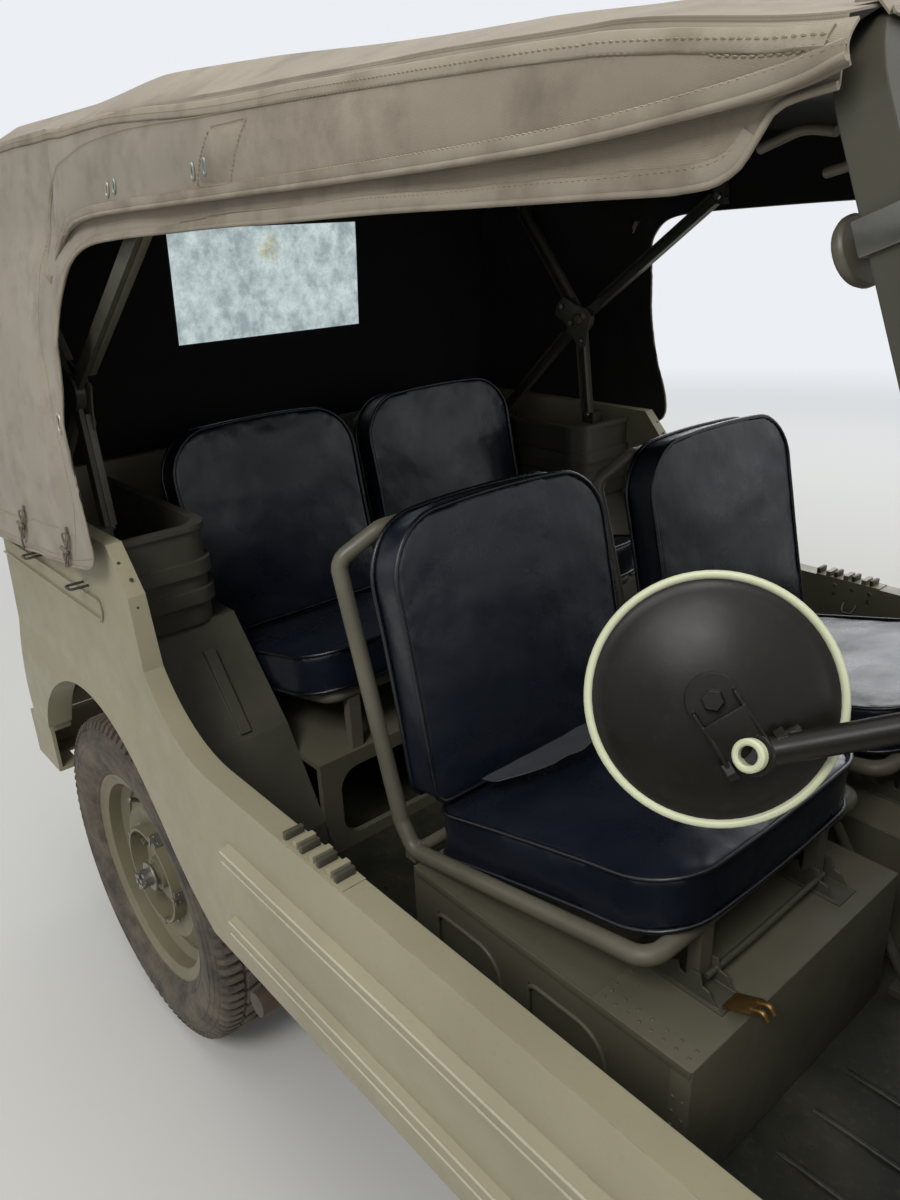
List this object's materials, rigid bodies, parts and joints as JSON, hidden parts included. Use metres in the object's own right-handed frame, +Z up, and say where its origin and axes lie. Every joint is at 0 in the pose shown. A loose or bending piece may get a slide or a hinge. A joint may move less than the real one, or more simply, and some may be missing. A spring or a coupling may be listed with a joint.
{
  "type": "light army car",
  "caption": "Open four-seat four-wheel-drive army car with a canvas hood, beaded sides, spare wheel and a lifting bonnet.",
  "frame": {"origin": "on the ground below the middle of the car, halfway between the axles", "axes": "+X forward, +Y to the car's left, +Z up"},
  "size_m": [3.445, 1.6042, 1.735],
  "materials": {
    "khaki_paint": "semi-matt khaki vehicle paint",
    "cabin_paint": "worn dark olive paint",
    "chassis_paint": "dusty dark olive chassis paint",
    "tube_paint": "worn grey-olive tube paint",
    "exhaust_steel": "dull heated steel",
    "cast_iron": "rough casting",
    "canvas": "weathered cotton canvas",
    "clear_sheet": "milky flexible clear sheet",
    "glass": "flat screen glass",
    "lamp_glass": "fluted lamp glass",
    "red_lens": "moulded red lens",
    "seat_vinyl": "blue-black coated cloth",
    "hard_rubber": "moulded hard rubber",
    "tyre": "dusty tyre rubber"
  },
  "bodies": {
    "body": {"chassis_frame": "chassis_paint", "leaf_springs": "chassis_paint", "wishbones": "chassis_paint", "drive_units": "chassis_paint", "drive_shafts": "chassis_paint", "exhaust": "exhaust_steel", "engine_block": "cast_iron", "radiator": "chassis_paint", "side_panel_left": "khaki_paint", "side_panel_right": "khaki_paint", "front_wing_left": "khaki_paint", "front_wing_right": "khaki_paint", "nose_panel": "khaki_paint", "cowl": "khaki_paint", "tail_panel": "khaki_paint", "floor_pan": "cabin_paint", "seat_boxes": "cabin_paint", "wheel_houses": "cabin_paint", "stowage_bins": "cabin_paint", "windscreen_frame": "khaki_paint", "windscreen_glass": "glass", "canvas_top": "canvas", "rear_window": "clear_sheet", "hood_frame": "cabin_paint", "seat_frames": "tube_paint", "seat_cushions": "seat_vinyl", "seat_backs": "seat_vinyl", "steering_column": "cabin_paint", "controls": "cabin_paint", "headlamps": "lamp_glass", "tail_lamps": "red_lens", "front_bumper": "khaki_paint", "rear_bumperettes": "khaki_paint", "tow_hitch": "chassis_paint", "mirrors": "khaki_paint", "rear_hub_carriers": "chassis_paint", "spare_tyre": "tyre", "spare_wheel": "khaki_paint"},
    "steer_left": {"knuckle_left": "chassis_paint"},
    "steer_right": {"knuckle_right": "chassis_paint"},
    "bonnet": {"bonnet": "khaki_paint"},
    "steering_wheel": {"steering_wheel": "hard_rubber"},
    "track_rod": {"tie_rod": "chassis_paint"},
    "road_wheel_front_left": {"tyre_front_left": "tyre", "wheel_front_left": "khaki_paint"},
    "road_wheel_front_right": {"tyre_front_right": "tyre", "wheel_front_right": "khaki_paint"},
    "road_wheel_rear_left": {"tyre_rear_left": "tyre", "wheel_rear_left": "khaki_paint"},
    "road_wheel_rear_right": {"tyre_rear_right": "tyre", "wheel_rear_right": "khaki_paint"}
  },
  "joints": [
    {"name": "steer_left", "type": "hinge", "parent": "body", "child": "steer_left", "pos_m": [1, 0.528, 0.345], "axis": [0, 0, 1], "range_deg": [-28, 28]},
    {"name": "steer_right", "type": "hinge", "parent": "body", "child": "steer_right", "pos_m": [1, -0.528, 0.345], "axis": [0, 0, 1], "range_deg": [-28, 28]},
    {"name": "steering_wheel_turn", "type": "hinge", "parent": "body", "child": "steering_wheel", "pos_m": [0.205, 0.33, 1.06], "axis": [-0.8, 0, 0.6], "range_deg": [-448, 448]},
    {"name": "track_rod_slide", "type": "slide", "parent": "body", "child": "track_rod", "axis": [0, 1, 0], "range_m": [-0.0656, 0.0656]},
    {"name": "bonnet_lift", "type": "hinge", "parent": "body", "child": "bonnet", "pos_m": [0.705, 0, 1.08259], "axis": [0, -1, 0], "range_deg": [0, 55]},
    {"name": "spin_front_left", "type": "hinge", "parent": "steer_left", "child": "road_wheel_front_left", "pos_m": [1, 0.603, 0.345], "axis": [0, 1, 0], "continuous": true},
    {"name": "spin_front_right", "type": "hinge", "parent": "steer_right", "child": "road_wheel_front_right", "pos_m": [1, -0.603, 0.345], "axis": [0, 1, 0], "continuous": true},
    {"name": "spin_rear_left", "type": "hinge", "parent": "body", "child": "road_wheel_rear_left", "pos_m": [-1, 0.603, 0.345], "axis": [0, 1, 0], "continuous": true},
    {"name": "spin_rear_right", "type": "hinge", "parent": "body", "child": "road_wheel_rear_right", "pos_m": [-1, -0.603, 0.345], "axis": [0, 1, 0], "continuous": true}
  ],
  "couplings": [
    {"joint": "steer_right", "follows": "steer_left", "ratio": 1},
    {"joint": "steering_wheel_turn", "follows": "steer_left", "ratio": 16},
    {"joint": "track_rod_slide", "follows": "steer_left", "m_per_rad": -0.134}
  ]
}
